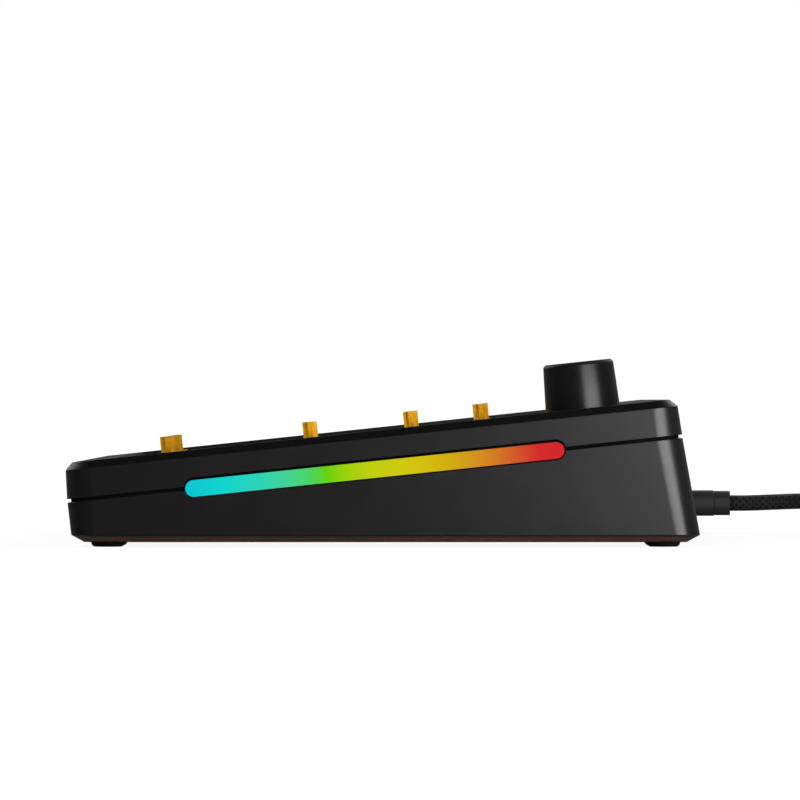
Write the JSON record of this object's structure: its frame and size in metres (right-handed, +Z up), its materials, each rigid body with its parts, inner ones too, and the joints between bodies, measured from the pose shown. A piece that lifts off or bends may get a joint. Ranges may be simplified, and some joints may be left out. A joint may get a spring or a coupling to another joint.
{
  "type": "barebone keyboard kit",
  "caption": "Wedge-shaped compact keyboard case with an open switch plate, stabilisers, turn knob, side light bars and a plugged-in braided cable.",
  "frame": {"origin": "bottom centre of the keyboard without its cable, on the desk", "axes": "+X to the user's right, +Y to the rear, +Z up"},
  "size_m": [0.3342, 0.2459, 0.0439],
  "materials": {
    "upper_shell": "satin black",
    "lower_shell": "satin dark grey",
    "black_steel": "black oxide",
    "foot_rubber": "matt",
    "grey_foam": "open foam",
    "gasket_foam": "dense foam",
    "light_diffuser": "milky, lit from behind in a rainbow",
    "light_board": "solder mask",
    "plate": "fine black coat",
    "board": "solder mask",
    "socket_plastic": "moulded",
    "led_lens": "clear lens",
    "brass": "turned",
    "encoder_steel": "plated",
    "knob_black": "satin black",
    "guide_plastic": "moulded",
    "amber_stem": "moulded amber",
    "bright_steel": "bright",
    "header_plastic": "moulded",
    "ribbon": "flat",
    "plug_black": "moulded",
    "cable_braid": "braided",
    "strap": "woven"
  },
  "bodies": {
    "case": {"top_case": "upper_shell", "bottom_case": "lower_shell", "case_screws": "black_steel", "rubber_feet": "foot_rubber", "floor_mat": "grey_foam", "right_light_bar": "light_diffuser", "left_light_bar": "light_diffuser", "right_light_strip": "light_board", "left_light_strip": "light_board", "switch_plate": "plate", "plate_foam": "grey_foam", "main_board": "board", "hot_swap_sockets": "socket_plastic", "key_leds": "led_lens", "controller_chip": "socket_plastic", "plate_standoffs": "brass", "plate_screws": "black_steel", "upper_gaskets": "gasket_foam", "lower_gaskets": "gasket_foam", "encoder_body": "encoder_steel", "encoder_bush": "encoder_steel", "backspace_housings": "guide_plastic", "enter_housings": "guide_plastic", "space_housings": "guide_plastic", "stabiliser_screws": "black_steel", "usb_board": "board", "usb_socket": "bright_steel", "usb_board_screws": "black_steel", "usb_board_header": "header_plastic", "main_board_header": "header_plastic", "link_ribbon": "ribbon", "plug_shell": "bright_steel", "plug_grip": "plug_black", "plug_collar": "plug_black", "cable_lead": "cable_braid", "cable_coil": "cable_braid", "cable_tail": "cable_braid", "coil_tie": "strap", "far_plug_grip": "plug_black", "far_plug_shell": "bright_steel"},
    "plunger": {"encoder_plunger": "socket_plastic"},
    "knob": {"knob": "knob_black", "encoder_shaft": "encoder_steel"},
    "backspace_left": {"backspace_left_stem": "amber_stem"},
    "backspace_right": {"backspace_right_stem": "amber_stem"},
    "backspace_lever": {"backspace_wire": "bright_steel"},
    "enter_rear": {"enter_rear_stem": "amber_stem"},
    "enter_front": {"enter_front_stem": "amber_stem"},
    "enter_lever": {"enter_wire": "bright_steel"},
    "space_left": {"space_left_stem": "amber_stem"},
    "space_right": {"space_right_stem": "amber_stem"},
    "space_lever": {"space_wire": "bright_steel"}
  },
  "joints": [
    {"name": "knob_push", "type": "slide", "parent": "case", "child": "plunger", "axis": [0, 0.1045, -0.9945], "range_m": [0, 0.0005], "stiffness_N_per_m": 600, "springref_m": -0.005},
    {"name": "knob_turn", "type": "hinge", "parent": "plunger", "child": "knob", "pos_m": [0.14526, 0.04671, 0.0322], "axis": [0, -0.1045, 0.9945], "continuous": true},
    {"name": "backspace_left_press", "type": "slide", "parent": "case", "child": "backspace_left", "axis": [0, 0.1045, -0.9945], "range_m": [0, 0.004]},
    {"name": "backspace_right_press", "type": "slide", "parent": "case", "child": "backspace_right", "axis": [0, 0.1045, -0.9945], "range_m": [0, 0.004]},
    {"name": "backspace_wire_turn", "type": "hinge", "parent": "case", "child": "backspace_lever", "pos_m": [0.11192, 0.0325, 0.02146], "axis": [1, 0, 0], "range_deg": [0, 28.73]},
    {"name": "enter_rear_press", "type": "slide", "parent": "case", "child": "enter_rear", "axis": [0, 0.1045, -0.9945], "range_m": [0, 0.004]},
    {"name": "enter_front_press", "type": "slide", "parent": "case", "child": "enter_front", "axis": [0, 0.1045, -0.9945], "range_m": [0, 0.004]},
    {"name": "enter_wire_turn", "type": "hinge", "parent": "case", "child": "enter_lever", "pos_m": [0.12736, -0.00418, 0.0176], "axis": [0, -0.9945, -0.1045], "range_deg": [0, 28.73]},
    {"name": "space_left_press", "type": "slide", "parent": "case", "child": "space_left", "axis": [0, 0.1045, -0.9945], "range_m": [0, 0.004]},
    {"name": "space_right_press", "type": "slide", "parent": "case", "child": "space_right", "axis": [0, 0.1045, -0.9945], "range_m": [0, 0.004]},
    {"name": "space_wire_turn", "type": "hinge", "parent": "case", "child": "space_lever", "pos_m": [-0.02381, -0.04329, 0.01349], "axis": [1, 0, 0], "range_deg": [0, 28.73]}
  ],
  "couplings": [
    {"joint": "backspace_right_press", "follows": "backspace_left_press", "ratio": 1},
    {"joint": "backspace_wire_turn", "follows": "backspace_left_press", "rad_per_m": 124.91},
    {"joint": "enter_front_press", "follows": "enter_rear_press", "ratio": 1},
    {"joint": "enter_wire_turn", "follows": "enter_rear_press", "rad_per_m": 124.91},
    {"joint": "space_right_press", "follows": "space_left_press", "ratio": 1},
    {"joint": "space_wire_turn", "follows": "space_left_press", "rad_per_m": 124.91}
  ]
}
